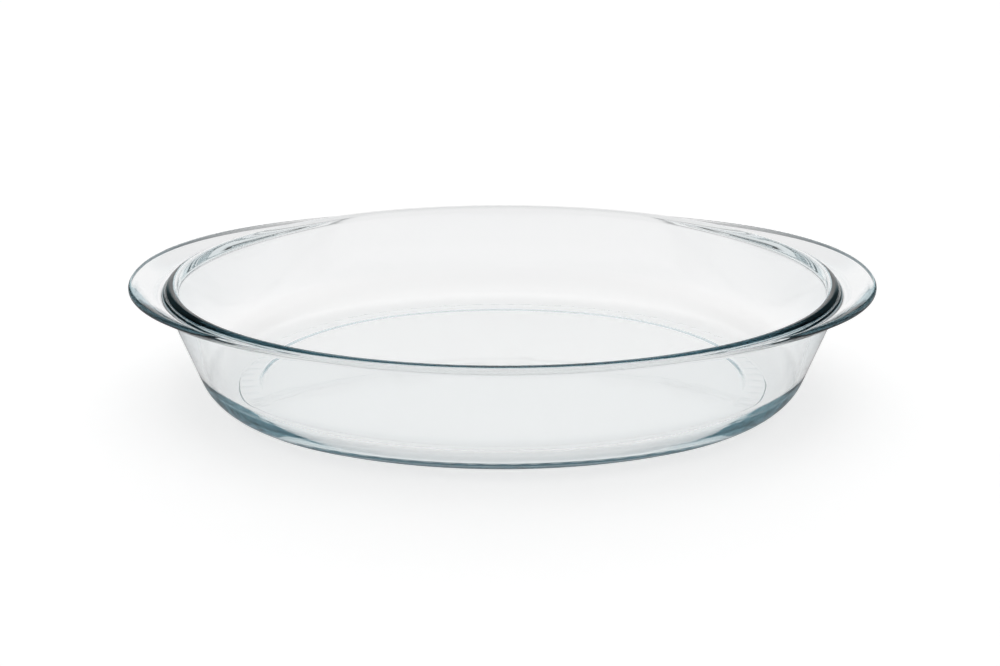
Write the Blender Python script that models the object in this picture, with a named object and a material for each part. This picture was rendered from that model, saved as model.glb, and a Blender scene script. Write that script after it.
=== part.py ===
"""Oval baking dish of clear pressed glass, in metres, standing on z = 0.

The dish is one piece of glass. Its length runs along X and its mouth faces +Z.
Every level of it is an oval ring, and the rings change their section round the
dish: a narrow lip along the sides, a broad scooped handle at each end. So the
body is a loft between two unlike sections, drawn in a plane that stands square
to the rim. In that plane a point is (out, z): out is measured outward from the
wall's outer face where it meets the lip.
"""
import math

import bmesh
import bpy

# Size over everything
LENGTH = 0.350
WIDTH = 0.240
RIM_HEIGHT = 0.0545

# Glass thickness: of a side's wall at the rim, of every wall at the heel, and of the floor
WALL = 0.0050
HEEL_WALL = 0.0053
FLOOR = 0.0053

# Foot: a flat ring that stands proud of the heel outside it and of the panel inside it
FOOT_WIDTH = 0.0085
FOOT_RISE = 0.0003
FOOT_STEP = 0.0009
PANEL_RECESS = 0.0010
PANEL_STEP = 0.0020
SIDE_FOOT_INSET = 0.0250
END_FOOT_INSET = 0.0277

# Outer heel below the walls, and the fillet inside the basin
SIDE_HEEL_RADIUS = 0.0205
END_HEEL_RADIUS = 0.0180
BASIN_RADIUS = 0.0145

# Rim: a bead with a flat land on top, and the lip that it forms along the sides
LIP_OVERHANG = 0.0013
LIP_DEPTH = 0.0031
LIP_FILLET = 0.0012
BEAD_LAND = 0.0014
BEAD_INNER_EDGE = 0.0024
BEAD_OUTER_EDGE = 0.0018

# Handles: they grow out of the lip within HANDLE_SWEEP of each end of the length
HANDLE_REACH = 0.018
HANDLE_SWEEP = math.radians(62.5)
HANDLE_FULLNESS = 1.18
HANDLE_THICKNESS = 0.0038
HANDLE_RISE = 0.0012
HANDLE_ROOT = 0.0022
HANDLE_ROOT_DEPTH = 0.009
HANDLE_FILLET = 0.005
GROOVE_DEPTH = 0.0034
GROOVE_WIDTH = 0.0026
GROOVE_FILLET = 0.0012

# Fineness of the loft
SEGMENTS = 96
ARC_STEPS = 6
FILLET_STEPS = 3
HANDLE_STEPS = 4

# Clear soda-lime glass
GLASS_COLOUR = (0.80, 0.90, 0.89, 1.0)
GLASS_ROUGHNESS = 0.02
GLASS_IOR = 1.5


def on_circle(centre, radius, angle):
    return (centre[0] + radius * math.cos(angle), centre[1] + radius * math.sin(angle))


def arc(centre, radius, start, end, steps):
    """Points of an arc between two angles, without its first one."""
    return [on_circle(centre, radius, start + (end - start) * step / steps) for step in range(1, steps + 1)]


def blend(start, start_angle, end, end_angle, steps):
    """Points of a curve that leaves and arrives at the given headings, without its first one."""
    pull = math.dist(start, end) / 3
    first = (start[0] + pull * math.cos(start_angle), start[1] + pull * math.sin(start_angle))
    second = (end[0] - pull * math.cos(end_angle), end[1] - pull * math.sin(end_angle))
    points = []
    for step in range(1, steps + 1):
        t = step / steps
        weights = ((1 - t) ** 3, 3 * t * (1 - t) ** 2, 3 * t * t * (1 - t), t ** 3)
        corners = (start, first, second, end)
        points.append(tuple(sum(w * p[axis] for w, p in zip(weights, corners)) for axis in (0, 1)))
    return points


def tangent_angle(centre, radius, point):
    """Where on a circle the straight wall down from the point touches it, as an angle."""
    away = (point[0] - centre[0], point[1] - centre[1])
    return math.atan2(away[1], away[0]) - math.acos(radius / math.hypot(*away))


def foot_and_wall(inset, heel_radius, wall_top):
    """The underside from the panel's edge out over the foot and heel, and up to the wall's top.

    Returns its points, the wall's heading and the point where the glass ends inside the heel.
    """
    foot_outer = (-inset, 0.0)
    foot_inner = (-inset - FOOT_WIDTH, 0.0)
    heel_start = (FOOT_STEP - inset, FOOT_RISE)
    heel = (heel_start[0], FOOT_RISE + heel_radius)
    touch = tangent_angle(heel, heel_radius, wall_top)
    points = [(foot_inner[0] - PANEL_STEP, PANEL_RECESS)]
    points += blend(points[0], 0.0, foot_inner, 0.0, FILLET_STEPS)
    points.append(foot_outer)
    points += blend(foot_outer, 0.0, heel_start, 0.0, FILLET_STEPS)
    points += arc(heel, heel_radius, -math.pi / 2, touch, ARC_STEPS)
    points.append(wall_top)
    return points, touch + math.pi / 2, on_circle(heel, heel_radius - HEEL_WALL, touch)


side_wall_top = (0.0, RIM_HEIGHT - LIP_DEPTH - LIP_FILLET)
side_foot, side_heading, side_inside = foot_and_wall(SIDE_FOOT_INSET, SIDE_HEEL_RADIUS, side_wall_top)

# The basin's edge lies one wall in from the side's outer face, and the bead's land beside it
basin_edge_z = RIM_HEIGHT - BEAD_INNER_EDGE
side_lean = side_heading - math.pi / 2
basin_edge = (((side_wall_top[1] - basin_edge_z) * math.sin(side_lean) - WALL) / math.cos(side_lean), basin_edge_z)
land_inner = basin_edge[0] + min(BEAD_INNER_EDGE, (LIP_OVERHANG - basin_edge[0]) / 2)
land_outer = min(land_inner + BEAD_LAND, LIP_OVERHANG / 2)


def bead_and_basin(start, heading, inside):
    """From the bead's outer face over its flat land, down past the inside point and onto the floor."""
    points = blend(start, heading, (land_outer, RIM_HEIGHT), math.pi, FILLET_STEPS)
    points.append((land_inner, RIM_HEIGHT))
    face = math.atan2(inside[0] - basin_edge[0], basin_edge[1] - inside[1])
    points += blend(points[-1], math.pi, basin_edge, face - math.pi / 2, HANDLE_STEPS)
    centre_z = PANEL_RECESS + FLOOR + BASIN_RADIUS
    centre_out = basin_edge[0] + (basin_edge[1] - centre_z) * math.tan(face) - BASIN_RADIUS / math.cos(face)
    centre = (centre_out, centre_z)
    points.append(on_circle(centre, BASIN_RADIUS, face))
    return points + arc(centre, BASIN_RADIUS, face, -math.pi / 2, ARC_STEPS)


def side_section():
    """The section through a side: the wall ends in a narrow rounded lip."""
    half = LIP_DEPTH / 2
    edge = (LIP_OVERHANG - half, RIM_HEIGHT - half)
    turn = math.acos(max(-1.0, 1 - LIP_OVERHANG / LIP_DEPTH))
    turned = math.pi / 2 - turn
    points = side_foot + blend(side_wall_top, side_heading, on_circle(edge, half, -turn), turned, ARC_STEPS)
    points += arc(edge, half, -turn, 0.0, FILLET_STEPS + ARC_STEPS)
    groove_steps = HANDLE_STEPS + 1 + FILLET_STEPS + 1
    points += arc(edge, half, 0.0, turn / 2, groove_steps)
    return points + bead_and_basin(points[-1], (math.pi + turn) / 2, side_inside)


def end_section():
    """The section through an end: the wall carries a handle that is scooped beside the bead."""
    root = (HANDLE_ROOT, RIM_HEIGHT - HANDLE_ROOT_DEPTH)
    points, heading, inside = foot_and_wall(END_FOOT_INSET, END_HEEL_RADIUS, root)
    groove_z = RIM_HEIGHT - GROOVE_DEPTH
    half = HANDLE_THICKNESS / 2
    edge = (HANDLE_REACH - half, RIM_HEIGHT + HANDLE_RISE - half)
    under = (HANDLE_ROOT + HANDLE_FILLET, groove_z - HANDLE_THICKNESS)
    points += blend(root, heading, under, 0.0, ARC_STEPS)
    lowest = (edge[0], edge[1] - half)
    climb = math.atan2(lowest[1] - under[1], lowest[0] - under[0])
    points += blend(under, 0.0, lowest, climb, FILLET_STEPS)
    points += arc(edge, half, -math.pi / 2, math.pi / 2, ARC_STEPS)
    points += blend(points[-1], math.pi, (LIP_OVERHANG + GROOVE_WIDTH, groove_z), math.pi, HANDLE_STEPS)
    points.append((LIP_OVERHANG + GROOVE_FILLET, groove_z))
    points += blend(points[-1], math.pi, (LIP_OVERHANG, groove_z + GROOVE_FILLET), math.pi / 2, FILLET_STEPS)
    points.append((LIP_OVERHANG, max(RIM_HEIGHT - BEAD_OUTER_EDGE, points[-1][1])))
    return points + bead_and_basin(points[-1], math.pi / 2, inside)


def handle_share(angle):
    """How much of the handle there is at an angle round the oval: 1 at the ends, 0 along the sides."""
    from_end = math.atan2(abs(math.sin(angle)), abs(math.cos(angle)))
    reach = min(from_end / HANDLE_SWEEP, 1.0)
    return (1 + math.cos(math.pi * reach ** HANDLE_FULLNESS)) / 2


def oval_rings(side, end):
    """One ring of points for each pair of matching points on the two sections."""
    half_length = LENGTH / 2 - HANDLE_REACH
    half_width = WIDTH / 2 - LIP_OVERHANG
    rings = []
    for (side_out, side_z), (end_out, end_z) in zip(side, end, strict=True):
        ring = []
        for segment in range(SEGMENTS):
            angle = 2 * math.pi * segment / SEGMENTS
            share = handle_share(angle)
            out = side_out + (end_out - side_out) * share
            z = side_z + (end_z - side_z) * math.sqrt(share)
            ring.append(((half_length + out) * math.cos(angle), (half_width + out) * math.sin(angle), z))
        rings.append(ring)
    return rings


def loft(name, rings):
    """A closed mesh through the rings, capped by the panel underneath and by the basin's floor."""
    bm = bmesh.new()
    loops = [[bm.verts.new(point) for point in ring] for ring in rings]
    for lower, upper in zip(loops, loops[1:]):
        for segment in range(SEGMENTS):
            after = (segment + 1) % SEGMENTS
            bm.faces.new((lower[segment], lower[after], upper[after], upper[segment]))
    caps = [bm.faces.new(loops[0][::-1]), bm.faces.new(loops[-1])]
    bmesh.ops.poke(bm, faces=caps)
    mesh = bpy.data.meshes.new(name)
    bm.to_mesh(mesh)
    bm.free()
    mesh.shade_smooth()
    return mesh


for old in list(bpy.data.objects):
    bpy.data.objects.remove(old)

glass = bpy.data.materials.new("glass")
glass.use_nodes = True
shader = glass.node_tree.nodes["Principled BSDF"]
shader.inputs["Base Color"].default_value = GLASS_COLOUR
shader.inputs["Roughness"].default_value = GLASS_ROUGHNESS
shader.inputs["Metallic"].default_value = 0.0
shader.inputs["IOR"].default_value = GLASS_IOR
shader.inputs["Transmission Weight"].default_value = 1.0

dish = bpy.data.objects.new("glass_dish", loft("glass_dish", oval_rings(side_section(), end_section())))
dish.data.materials.append(glass)
collection = bpy.data.collections.new("oval_baking_dish")
bpy.context.scene.collection.children.link(collection)
collection.objects.link(dish)
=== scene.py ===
"""The looks of an oval baking dish of clear pressed glass, on a white studio floor.

Everything is in metres, with +X along the dish and +Z up. The dish stands on z = 0.
"""
import math

import bpy
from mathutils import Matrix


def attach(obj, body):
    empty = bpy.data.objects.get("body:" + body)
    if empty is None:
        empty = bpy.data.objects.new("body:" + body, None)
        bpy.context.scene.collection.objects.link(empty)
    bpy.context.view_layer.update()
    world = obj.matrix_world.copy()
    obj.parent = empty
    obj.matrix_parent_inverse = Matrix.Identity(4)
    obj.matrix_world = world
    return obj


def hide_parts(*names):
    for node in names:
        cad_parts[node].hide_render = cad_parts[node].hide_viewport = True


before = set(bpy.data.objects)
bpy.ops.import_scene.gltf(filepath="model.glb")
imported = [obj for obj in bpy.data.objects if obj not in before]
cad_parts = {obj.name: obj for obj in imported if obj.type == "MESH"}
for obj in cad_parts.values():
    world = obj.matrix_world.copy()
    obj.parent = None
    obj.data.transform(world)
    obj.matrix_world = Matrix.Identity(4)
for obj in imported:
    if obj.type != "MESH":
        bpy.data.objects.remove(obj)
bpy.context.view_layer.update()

# The dish is one piece of pressed glass: an oval basin on a ring foot, with a beaded
# rim and a scooped handle at each end. Its section is drawn twice, through a side and
# through an end, and a node tree sweeps the blend of the two round the oval.
LENGTH = 0.350
WIDTH = 0.240
RIM_HEIGHT = 0.0545
WALL = 0.0050
HEEL_WALL = 0.0044
FLOOR = 0.0065
FOOT_WIDTH = 0.0085
FOOT_RISE = 0.0003
FOOT_STEP = 0.0009
PANEL_RECESS = 0.0005
PANEL_STEP = 0.0032
SIDE_FOOT_INSET = 0.0250
END_FOOT_INSET = 0.0294
SIDE_HEEL_RADIUS = 0.0205
END_HEEL_RADIUS = 0.0180
BASIN_RADIUS = 0.0161
LIP_OVERHANG = 0.0013
LIP_DEPTH = 0.0031
LIP_FILLET = 0.0012
BEAD_LAND = 0.0003
BEAD_INNER_EDGE = 0.0030
BEAD_OUTER_EDGE = 0.0024
HANDLE_REACH = 0.018
HANDLE_SWEEP = math.radians(62.5)
HANDLE_FULLNESS = 1.18
HANDLE_THICKNESS = 0.0034
HANDLE_RISE = 0.0012
HANDLE_ROOT = 0.0010
HANDLE_ROOT_DEPTH = 0.0082
HANDLE_FILLET = 0.005
GROOVE_DEPTH = 0.0032
GROOVE_WIDTH = 0.0026
GROOVE_FILLET = 0.0012

# The lugs hold the foot a hair above the table. Without that gap the foot's face would
# lie in the table's, and rays would slip between the two.
LUG_COUNT = 80
LUG_HEIGHT = 0.00007

# A last narrow ring inside the panel's and the floor's edge keeps their shading flat.
FLAT_GUARD = 0.0006

# Points for each stretch of the section. The lip along a side takes as many as the
# handle, the groove and the bead's outer face do at an end, so that the two sections match.
SEGMENTS = 480
FLAT_STEPS = 8
FILLET_STEPS = 8
TURN_STEPS = 30
LAND_STEPS = 4
BEAD_INNER_STEPS = 10
BEAD_FACE_STEPS = 4
ROOT_STEPS = 10
HANDLE_UNDER_STEPS = 8
HANDLE_EDGE_STEPS = 16
SCOOP_STEPS = 12
GROOVE_FLOOR_STEPS = 2
GROOVE_FILLET_STEPS = 6
HANDLE_STEPS = HANDLE_UNDER_STEPS + HANDLE_EDGE_STEPS + SCOOP_STEPS
GROOVE_STEPS = GROOVE_FLOOR_STEPS + GROOVE_FILLET_STEPS
LIP_UNDER_STEPS = 20
LIP_OVER_STEPS = HANDLE_STEPS + GROOVE_STEPS + BEAD_FACE_STEPS - LIP_UNDER_STEPS


def on_circle(centre, radius, angle):
    return (centre[0] + radius * math.cos(angle), centre[1] + radius * math.sin(angle))


def line(start, end, steps):
    """Points that crowd towards both ends, so that the shading stays flat between them."""
    points = []
    for n in range(1, steps + 1):
        t = (1 - math.cos(math.pi * n / steps)) / 2
        points.append((start[0] + (end[0] - start[0]) * t, start[1] + (end[1] - start[1]) * t))
    return points


def arc(centre, radius, start, end, steps):
    turns = [start + (end - start) * n / steps for n in range(1, steps + 1)]
    return [on_circle(centre, radius, turn) for turn in turns]


def blend(start, start_angle, end, end_angle, steps):
    """A curve that leaves and arrives at the given headings."""
    pull = math.dist(start, end) / 3
    first = (start[0] + pull * math.cos(start_angle), start[1] + pull * math.sin(start_angle))
    second = (end[0] - pull * math.cos(end_angle), end[1] - pull * math.sin(end_angle))
    corners = (start, first, second, end)
    points = []
    for n in range(1, steps + 1):
        t = n / steps
        weights = ((1 - t) ** 3, 3 * t * (1 - t) ** 2, 3 * t * t * (1 - t), t ** 3)
        points.append(tuple(sum(w * p[axis] for w, p in zip(weights, corners)) for axis in (0, 1)))
    return points


def tangent_angle(centre, radius, point):
    """Where on a circle the straight wall down from the point touches it, as an angle."""
    away = (point[0] - centre[0], point[1] - centre[1])
    return math.atan2(away[1], away[0]) - math.acos(radius / math.hypot(*away))


def foot_and_wall(inset, heel_radius, wall_top):
    """From the panel's edge out over the foot and the heel, and up to the wall's top.

    Returns its points, the wall's heading and the point where the glass ends inside the heel.
    """
    foot_outer = (-inset, 0.0)
    foot_inner = (-inset - FOOT_WIDTH, 0.0)
    panel_edge = (foot_inner[0] - PANEL_STEP, PANEL_RECESS)
    heel_start = (-inset + FOOT_STEP, FOOT_RISE)
    heel = (heel_start[0], heel_start[1] + heel_radius)
    touch = tangent_angle(heel, heel_radius, wall_top)
    points = [(panel_edge[0] - FLAT_GUARD, PANEL_RECESS), panel_edge]
    points += blend(panel_edge, 0.0, foot_inner, 0.0, FILLET_STEPS)
    points += line(foot_inner, foot_outer, FLAT_STEPS)
    points += blend(foot_outer, 0.0, heel_start, 0.0, FILLET_STEPS)
    points += arc(heel, heel_radius, -math.pi / 2, touch, TURN_STEPS)
    points += line(points[-1], wall_top, FLAT_STEPS)
    return points, touch + math.pi / 2, on_circle(heel, heel_radius - HEEL_WALL, touch)


side_wall_top = (0.0, RIM_HEIGHT - LIP_DEPTH - LIP_FILLET)
side, heading, inside = foot_and_wall(SIDE_FOOT_INSET, SIDE_HEEL_RADIUS, side_wall_top)

# The basin's edge lies one wall in from the side's outer face, and the bead's land beside it.
lean = heading - math.pi / 2
basin_edge_z = RIM_HEIGHT - BEAD_INNER_EDGE
lean_out = (side_wall_top[1] - basin_edge_z) * math.sin(lean)
basin_edge = ((lean_out - WALL) / math.cos(lean), basin_edge_z)
land_inner = basin_edge[0] + BEAD_INNER_EDGE
land_outer = land_inner + BEAD_LAND


def bead_and_basin(start, heading, inside):
    """From the bead's outer face over its land, past the inside point and onto the floor."""
    face = math.atan2(inside[0] - basin_edge[0], basin_edge[1] - inside[1])
    centre_z = PANEL_RECESS + FLOOR + BASIN_RADIUS
    drop = (basin_edge[1] - centre_z) * math.tan(face)
    centre = (basin_edge[0] + drop - BASIN_RADIUS / math.cos(face), centre_z)
    points = blend(start, heading, (land_outer, RIM_HEIGHT), math.pi, FILLET_STEPS)
    points += line(points[-1], (land_inner, RIM_HEIGHT), LAND_STEPS)
    points += blend(points[-1], math.pi, basin_edge, face - math.pi / 2, BEAD_INNER_STEPS)
    points += line(points[-1], on_circle(centre, BASIN_RADIUS, face), FLAT_STEPS)
    points += arc(centre, BASIN_RADIUS, face, -math.pi / 2, TURN_STEPS)
    return points + [(points[-1][0] - FLAT_GUARD, points[-1][1])]


# Through a side: the wall ends in a narrow rounded lip.
lip_half = LIP_DEPTH / 2
lip_edge = (LIP_OVERHANG - lip_half, RIM_HEIGHT - lip_half)
lip_turn = math.acos(1 - LIP_OVERHANG / LIP_DEPTH)
lip_start = on_circle(lip_edge, lip_half, -lip_turn)
side += blend(side_wall_top, heading, lip_start, math.pi / 2 - lip_turn, ROOT_STEPS)
side += arc(lip_edge, lip_half, -lip_turn, 0.0, LIP_UNDER_STEPS)
side += arc(lip_edge, lip_half, 0.0, lip_turn / 2, LIP_OVER_STEPS)
side += bead_and_basin(side[-1], (math.pi + lip_turn) / 2, inside)

# Through an end: the wall carries a handle, with a groove between it and the bead.
root = (HANDLE_ROOT, RIM_HEIGHT - HANDLE_ROOT_DEPTH)
end, heading, inside = foot_and_wall(END_FOOT_INSET, END_HEEL_RADIUS, root)
groove_z = RIM_HEIGHT - GROOVE_DEPTH
handle_half = HANDLE_THICKNESS / 2
handle_edge = (HANDLE_REACH - handle_half, RIM_HEIGHT + HANDLE_RISE - handle_half)
under = (HANDLE_ROOT + HANDLE_FILLET, groove_z - HANDLE_THICKNESS)
lowest = (handle_edge[0], handle_edge[1] - handle_half)
climb = math.atan2(lowest[1] - under[1], lowest[0] - under[0])
groove_outer = (LIP_OVERHANG + GROOVE_WIDTH, groove_z)
groove_inner = (LIP_OVERHANG + GROOVE_FILLET, groove_z)
bead_foot = (LIP_OVERHANG, groove_z + GROOVE_FILLET)
bead_shoulder = (LIP_OVERHANG, RIM_HEIGHT - BEAD_OUTER_EDGE)
end += blend(root, heading, under, 0.0, ROOT_STEPS)
end += blend(under, 0.0, lowest, climb, HANDLE_UNDER_STEPS)
end += arc(handle_edge, handle_half, -math.pi / 2, math.pi / 2, HANDLE_EDGE_STEPS)
end += blend(end[-1], math.pi, groove_outer, math.pi, SCOOP_STEPS)
end += line(end[-1], groove_inner, GROOVE_FLOOR_STEPS)
end += blend(end[-1], math.pi, bead_foot, math.pi / 2, GROOVE_FILLET_STEPS)
end += line(end[-1], bead_shoulder, BEAD_FACE_STEPS)
end += bead_and_basin(end[-1], math.pi / 2, inside)


class Wire:
    """One output socket of a node. Sums on wires add their Math nodes."""

    def __init__(self, graph, socket):
        self.graph = graph
        self.socket = socket

    def beside(self, output):
        """Another output of the same node."""
        return Wire(self.graph, self.socket.node.outputs[output])

    def math(self, operation, *others):
        made = self.graph.tree.nodes.new("ShaderNodeMath")
        made.operation = operation
        for socket, value in zip(made.inputs, (self, *others)):
            self.graph.feed(socket, value)
        return Wire(self.graph, made.outputs[0])

    def fade(self, limits, bottom, top):
        """The bottom value below the first limit, the top one past the second, soft between."""
        return self.graph.node(
            "ShaderNodeMapRange",
            {"interpolation_type": "SMOOTHSTEP"},
            {
                "Value": self,
                "From Min": limits[0],
                "From Max": limits[1],
                "To Min": bottom,
                "To Max": top,
            },
        )

    def __add__(self, other):
        return self.math("ADD", other)

    def __sub__(self, other):
        return self.math("SUBTRACT", other)

    def __mul__(self, other):
        return self.math("MULTIPLY", other)

    def __truediv__(self, other):
        return self.math("DIVIDE", other)

    def __pow__(self, other):
        return self.math("POWER", other)

    def __rsub__(self, other):
        return self.math("MULTIPLY_ADD", -1.0, other)

    __radd__ = __add__
    __rmul__ = __mul__


class Graph:
    """Fills one node tree."""

    def __init__(self, tree):
        self.tree = tree
        tree.nodes.clear()

    def feed(self, socket, value):
        if isinstance(value, Wire):
            self.tree.links.new(value.socket, socket)
        else:
            socket.default_value = value

    def node(self, kind, settings=(), inputs=(), output=0):
        """A node of a type, with its settings first, as the wire from one of its outputs."""
        made = self.tree.nodes.new(kind)
        for name, value in dict(settings).items():
            setattr(made, name, value)
        for name, value in dict(inputs).items():
            self.feed(made.inputs[name], value)
        return Wire(self, made.outputs[output]) if made.outputs else made

    def mix(self, kind, factor, first, second):
        """From the first to the second, which are both of the kind VECTOR or RGBA."""
        from_socket, to_socket, output = {"VECTOR": (4, 5, 1), "RGBA": (6, 7, 2)}[kind]
        inputs = {0: factor, from_socket: first, to_socket: second}
        return self.node("ShaderNodeMix", {"data_type": kind}, inputs, output)


# The side's section is a line of points, and each point also carries its partner on the
# end's section and its share of the lugs. The foot's face starts after the guard, the
# panel's edge and the fillet beside it.
sections = bpy.data.meshes.new("dish_sections")
sections.from_pydata(
    [(out, 0.0, z) for out, z in side], [(n, n + 1) for n in range(len(side) - 1)], []
)
end_point = sections.attributes.new("end_point", "FLOAT_VECTOR", "POINT")
for n, (out, z) in enumerate(end):
    end_point.data[n].vector = (out, 0.0, z)
foot_share = sections.attributes.new("foot_share", "FLOAT", "POINT")
FOOT_START = 2 + FILLET_STEPS
for n in range(FLAT_STEPS):
    along = math.pi * (n + 1) / (FLAT_STEPS + 1)
    foot_share.data[FOOT_START + n].value = math.sin(along) ** 2

# The handles' rounded edge is painted nearly black below its top, and the lip a little darker
# than the wall: painted shade for the dark room these edges show through the glass. Each point
# carries how much painted shade it has on the lip and on the handle.
LIP_SHADE = 0.2
LIP_BAND = 0.0008
EDGE_TOP = 0.4
EDGE_FADE = 0.0005
painted_edge_shade = sections.attributes.new("painted_edge_shade", "FLOAT_VECTOR", "POINT")
for n, ((side_out, _), (end_out, end_z)) in enumerate(zip(side, end, strict=True)):
    lip_shade = LIP_SHADE if side_out > LIP_OVERHANG - LIP_BAND else 0.0
    below_top = min(max((handle_edge[1] - end_z) / EDGE_FADE + EDGE_TOP, 0.0), 1.0)
    handle_shade = below_top if end_out > handle_edge[0] else 0.0
    painted_edge_shade.data[n].vector = (lip_shade, handle_shade, 0.0)
dish = bpy.data.objects.new("dish_glass", sections)
bpy.context.scene.collection.objects.link(dish)

sweep = bpy.data.node_groups.new("dish_sweep", "GeometryNodeTree")
sweep.is_modifier = True
sweep.interface.new_socket("Sections", in_out="INPUT", socket_type="NodeSocketGeometry")
dish_inputs = {
    "Half Length": LENGTH / 2 - HANDLE_REACH,
    "Half Width": WIDTH / 2 - LIP_OVERHANG,
    "Handle Sweep": HANDLE_SWEEP,
    "Handle Fullness": HANDLE_FULLNESS,
    "Lug Count": float(LUG_COUNT),
    "Lug Height": LUG_HEIGHT,
}
for name in dish_inputs:
    sweep.interface.new_socket(name, in_out="INPUT", socket_type="NodeSocketFloat")
sweep.interface.new_socket("Rings", in_out="INPUT", socket_type="NodeSocketInt")
sweep.interface.new_socket("Segments", in_out="INPUT", socket_type="NodeSocketInt")
sweep.interface.new_socket("Material", in_out="INPUT", socket_type="NodeSocketMaterial")
sweep.interface.new_socket("Geometry", in_out="OUTPUT", socket_type="NodeSocketGeometry")

graph = Graph(sweep)
given = graph.node("NodeGroupInput").socket.node
take = {socket.name: Wire(graph, socket) for socket in given.outputs if socket.name}

# A plain tube, whose height counts the points of the section and whose caps close the
# panel underneath and the basin's floor.
CAP_RINGS = 6
span = take["Rings"] - 1.0
tube = graph.node(
    "GeometryNodeMeshCylinder",
    {"fill_type": "TRIANGLE_FAN"},
    {
        "Vertices": take["Segments"],
        "Side Segments": span,
        "Fill Segments": CAP_RINGS,
        "Radius": 1.0,
        "Depth": span,
    },
)
position = graph.node("GeometryNodeInputPosition")
east = graph.node("ShaderNodeSeparateXYZ", (), {0: position})
north = east.beside(1)
ring = (east.beside(2) + span * 0.5).math("ROUND")


def carried(name, kind):
    """What the section's points carry under a name."""
    return graph.node("GeometryNodeInputNamedAttribute", {"data_type": kind}, {"Name": name})


def at_ring(value, kind):
    """A value of the section's points, read at this point's ring."""
    inputs = {"Geometry": take["Sections"], "Value": value, "Index": ring}
    return graph.node("GeometryNodeSampleIndex", {"data_type": kind}, inputs)


def parts_at_ring(value):
    return graph.node("ShaderNodeSeparateXYZ", (), {0: at_ring(value, "FLOAT_VECTOR")})


at_side = parts_at_ring(position)
at_end = parts_at_ring(carried("end_point", "FLOAT_VECTOR"))
painted_shade_at_ring = parts_at_ring(carried("painted_edge_shade", "FLOAT_VECTOR"))
on_foot = at_ring(carried("foot_share", "FLOAT"), "FLOAT")

# How much of the handle there is at this angle: 1 at the ends and 0 along the sides.
from_end = north.math("ABSOLUTE").math("ARCTAN2", east.math("ABSOLUTE"))
reach = (from_end / take["Handle Sweep"]).math("MINIMUM", 1.0)
share = ((reach ** take["Handle Fullness"] * math.pi).math("COSINE") + 1.0) * 0.5
rising_share = share.math("SQRT")
out = at_side + (at_end - at_side) * share
level = at_side.beside(2) + (at_end.beside(2) - at_side.beside(2)) * rising_share
# The painted shade runs from the lip's to the handle's as the height does.
painted_shade = painted_shade_at_ring + (painted_shade_at_ring.beside(1) - painted_shade_at_ring) * rising_share

# The lugs are evenly spaced along the foot, so their phase follows the oval's length and
# not its angle.
around = north.math("ARCTAN2", east)
longer = take["Half Length"] - take["Half Width"]
stretch = longer / (take["Half Length"] + take["Half Width"]) * 0.5
phase = (around - (around * 2.0).math("SINE") * stretch) * take["Lug Count"]
lug = (phase.math("COSINE") * 0.5 + 0.5) ** 2.0
level = level + on_foot * take["Lug Height"] * (1.0 - lug)
place = graph.node(
    "ShaderNodeCombineXYZ",
    (),
    {0: (take["Half Length"] + out) * east, 1: (take["Half Width"] + out) * north, 2: level},
)
# Each point keeps its painted shade, which the glass's colour reads.
marked = graph.node(
    "GeometryNodeStoreNamedAttribute",
    {"data_type": "FLOAT", "domain": "POINT"},
    {"Geometry": tube, "Name": "painted_shade", "Value": painted_shade},
)
shaped = graph.node("GeometryNodeSetPosition", (), {"Geometry": marked, "Position": place})
smooth = graph.node("GeometryNodeSetShadeSmooth", (), {"Geometry": shaped})
real = graph.node("GeometryNodeRealizeInstances", (), {"Geometry": smooth})
coated = graph.node(
    "GeometryNodeSetMaterial", (), {"Geometry": real, "Material": take["Material"]}
)
graph.node("NodeGroupOutput", (), {0: coated})

# The glass is nearly clear; only where the sight runs far inside it, at the rim and the
# heel, does its teal tint add up. Pressing leaves the faces very slightly rippled.
GLASS_IOR = 1.48
TEAL = (0.20, 0.45, 0.52, 1.0)
ABSORPTION = 12.0
CLEAR = (1.0, 1.0, 1.0, 1.0)
# The painted shade turns the glass's colour to this near-black teal.
PAINTED_SHADE_TINT = (0.004, 0.02, 0.028, 1.0)
RIPPLE_SCALE = 45.0
RIPPLE_DETAIL = 2.0
RIPPLE_ROUGHNESS = 0.4
RIPPLE_STRENGTH = 0.05
RIPPLE_DEPTH = 0.002
glass = bpy.data.materials.new("pressed_glass")
glass.use_nodes = True
shade = Graph(glass.node_tree)
ripple = shade.node(
    "ShaderNodeTexNoise",
    (),
    {
        "Vector": shade.node("ShaderNodeTexCoord", output="Object"),
        "Scale": RIPPLE_SCALE,
        "Detail": RIPPLE_DETAIL,
        "Roughness": RIPPLE_ROUGHNESS,
    },
)
rippled = shade.node(
    "ShaderNodeBump",
    (),
    {"Strength": RIPPLE_STRENGTH, "Distance": RIPPLE_DEPTH, "Height": ripple},
)
# Where the points carry painted shade, the glass's colour runs from clear to the dark teal.
dark = shade.node("ShaderNodeAttribute", {"attribute_name": "painted_shade"}, output="Fac")
surface = shade.node(
    "ShaderNodeBsdfPrincipled",
    (),
    {
        "Base Color": shade.mix("RGBA", dark, CLEAR, PAINTED_SHADE_TINT),
        "Roughness": 0.0,
        "IOR": GLASS_IOR,
        "Transmission Weight": 1.0,
        "Normal": rippled,
    },
)
tint = shade.node("ShaderNodeVolumeAbsorption", (), {"Color": TEAL, "Density": ABSORPTION})
shade.node("ShaderNodeOutputMaterial", (), {"Surface": surface, "Volume": tint})

shaping = dish.modifiers.new("sweep", "NODES")
shaping.node_group = sweep
sizes = {**dish_inputs, "Rings": len(side), "Segments": SEGMENTS, "Material": glass}
for item in sweep.interface.items_tree:
    if item.in_out == "INPUT" and item.name in sizes:
        shaping[item.identifier] = sizes[item.name]
evaluated = dish.evaluated_get(bpy.context.evaluated_depsgraph_get())
dish.data = bpy.data.meshes.new_from_object(evaluated)
dish.data.name = "dish_glass"
dish.modifiers.clear()
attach(dish, "root")
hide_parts("glass_dish")

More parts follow.
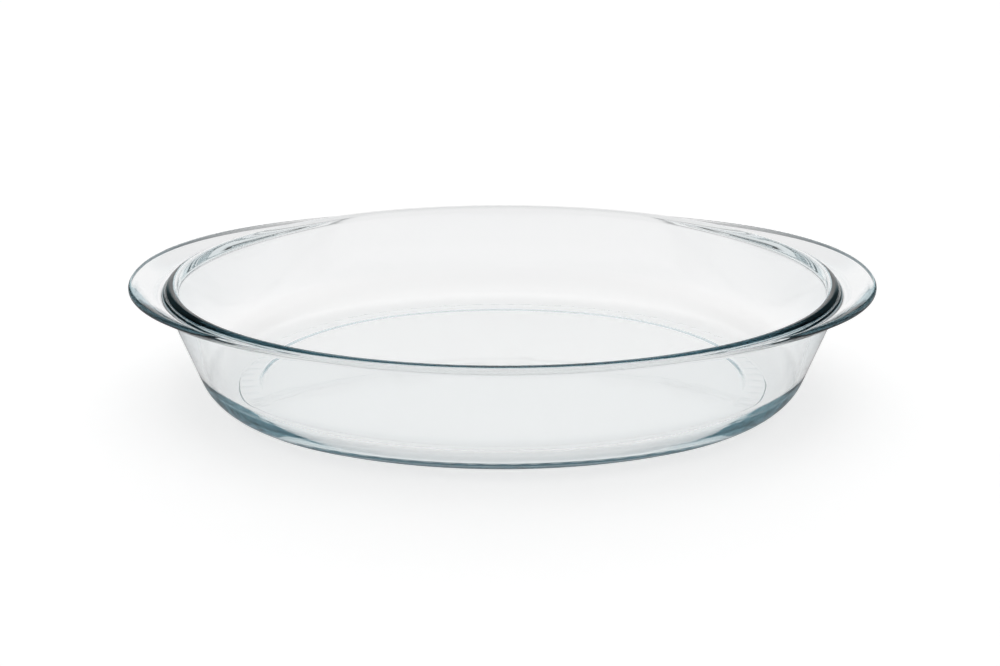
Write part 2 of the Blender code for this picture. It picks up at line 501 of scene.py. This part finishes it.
# The floor is a plain sheet of matt white paper that runs on behind the dish. Through the
# glass it glows, more close round the dish than further off. Where the glass only mirrors
# it, it is dimmer, which gives the rim and the heel their dark lines.
PAPER_SIDE = 4.0
PAPER_FRONT = -3.0
PAPER_BACK = 5.0
PAPER_WHITE = 0.8
PAPER_ROUGHNESS = 0.9
CAMERA_GLOW = (0.55, 0.55, 0.55)
NEAR_GLOW = (0.69, 0.66, 0.65)
FAR_GLOW = (0.47, 0.46, 0.46)
DISTANT_GLOW = (0.06, 0.06, 0.06)
FLOOR_SHEEN = 0.3
corners = [
    (-PAPER_SIDE, PAPER_FRONT, 0.0),
    (PAPER_SIDE, PAPER_FRONT, 0.0),
    (PAPER_SIDE, PAPER_BACK, 0.0),
    (-PAPER_SIDE, PAPER_BACK, 0.0),
]
floor_mesh = bpy.data.meshes.new("studio_floor")
floor_mesh.from_pydata(corners, [], [(0, 1, 2, 3)])
floor = bpy.data.objects.new("studio_floor", floor_mesh)
bpy.context.scene.collection.objects.link(floor)
paper = bpy.data.materials.new("white_paper")
paper.use_nodes = True
sheet = Graph(paper.node_tree)

# The glow's zones are counted in half lengths and half widths of the dish.
NEAR_ZONE = (0.65, 1.5)
DISTANT_ZONE = (2.6, 5.0)
where = sheet.node(
    "ShaderNodeSeparateXYZ", (), {0: sheet.node("ShaderNodeTexCoord", output="Object")}
)
off_x = where / (LENGTH / 2)
off_y = where.beside(1) / (WIDTH / 2)
distance = (off_x * off_x + off_y * off_y).math("SQRT")

straight = sheet.node("ShaderNodeLightPath", output="Is Camera Ray")
bent = straight.beside("Is Transmission Ray")
mirrored = straight.beside("Is Glossy Ray") * (1.0 - bent)
seen = (straight + bent).math("MINIMUM", 1.0) + mirrored * FLOOR_SHEEN
shade_of_white = PAPER_WHITE - mirrored * (PAPER_WHITE - PAPER_WHITE * FLOOR_SHEEN)
around = sheet.mix("VECTOR", distance.fade(NEAR_ZONE, 0.0, 1.0), NEAR_GLOW, FAR_GLOW)
through = sheet.mix("VECTOR", distance.fade(DISTANT_ZONE, 0.0, 1.0), around, DISTANT_GLOW)
glow = sheet.mix("VECTOR", straight, through, CAMERA_GLOW)
lit_paper = sheet.node(
    "ShaderNodeBsdfPrincipled",
    (),
    {
        "Base Color": shade_of_white,
        "Roughness": PAPER_ROUGHNESS,
        "Emission Color": glow,
        "Emission Strength": seen,
    },
)
sheet.node("ShaderNodeOutputMaterial", (), {"Surface": lit_paper})
floor_mesh.materials.append(paper)

# The studio: a bright sweep behind the dish and a wide soft light above it, with the rest of
# the room left darker. The camera itself sees the sweep as plain white. What the glass
# mirrors of it is dim and teal, apart from a gleam from straight behind.
ROOM = 0.10
BACKDROP = 0.95
TABLE = 0.70
OVERHEAD = 0.92
SHEEN = 0.12
SHEEN_COLOUR = (0.45, 0.88, 1.0, 1.0)
WHITE = (1.0, 1.0, 1.0, 1.0)

# Each light fades between two parts of the way that a ray leans to the back or to the top.
BACKDROP_EDGE = (0.30, 0.72)
TABLE_TOP = (0.14, 0.30)
TABLE_FRONT = (-0.75, -0.2)
OVERHEAD_EDGE = (0.60, 0.85)
GLEAM_EDGE = (0.82, 0.92)
world = bpy.data.worlds.new("studio")
bpy.context.scene.world = world
world.use_nodes = True
sky = Graph(world.node_tree)
look = sky.node(
    "ShaderNodeSeparateXYZ", (), {0: sky.node("ShaderNodeTexCoord", output="Generated")}
)
toward_back = look.beside(1)
toward_top = look.beside(2)
backdrop = toward_back.fade(BACKDROP_EDGE, ROOM, BACKDROP)
table = toward_top.fade(TABLE_TOP, TABLE, 0.0) * toward_back.fade(TABLE_FRONT, 0.0, 1.0)
overhead = toward_top.fade(OVERHEAD_EDGE, 0.0, OVERHEAD)
light = backdrop.math("MAXIMUM", overhead).math("MAXIMUM", table)

# Rays that have lit the paper on their way see the full light, so the floor stays bright.
straight = sky.node("ShaderNodeLightPath", output="Is Camera Ray")
direct = 1.0 - straight.beside("Diffuse Depth").math("MINIMUM", 1.0)
bent = straight.beside("Is Transmission Ray") * direct
mirrored = straight.beside("Is Glossy Ray") * direct - bent
gleam = toward_back.fade(GLEAM_EDGE, SHEEN, 1.0)
dimmed = mirrored * (1.0 - gleam)
light = light * (1.0 - dimmed)
seen_sky = light + straight * (1.0 - light)
sky_colour = sky.mix("RGBA", dimmed, WHITE, SHEEN_COLOUR)
background = sky.node("ShaderNodeBackground", (), {"Color": sky_colour, "Strength": seen_sky})
sky.node("ShaderNodeOutputWorld", (), {"Surface": background})

# The camera looks down on the dish by about 21 degrees, square to its long side.
LENS = 47.94
SENSOR_WIDTH = 36.0
SHIFT = -0.0024
STAND = (0.0, -0.6014, 0.2545)
LOOK_DOWN = 21.014
camera_data = bpy.data.cameras.new("camera")
camera_data.lens = LENS
camera_data.sensor_width = SENSOR_WIDTH
camera_data.shift_x = SHIFT
camera = bpy.data.objects.new("camera", camera_data)
camera.location = STAND
camera.rotation_euler = (math.radians(90 - LOOK_DOWN), 0.0, 0.0)
bpy.context.scene.collection.objects.link(camera)
bpy.context.scene.camera = camera

bpy.context.scene.view_settings.view_transform = "Standard"

# Light runs a long way inside the rim and the heel before it leaves the glass.
BOUNCES = 32
for kind in ("max_bounces", "glossy_bounces", "transmission_bounces"):
    setattr(bpy.context.scene.cycles, kind, BOUNCES)
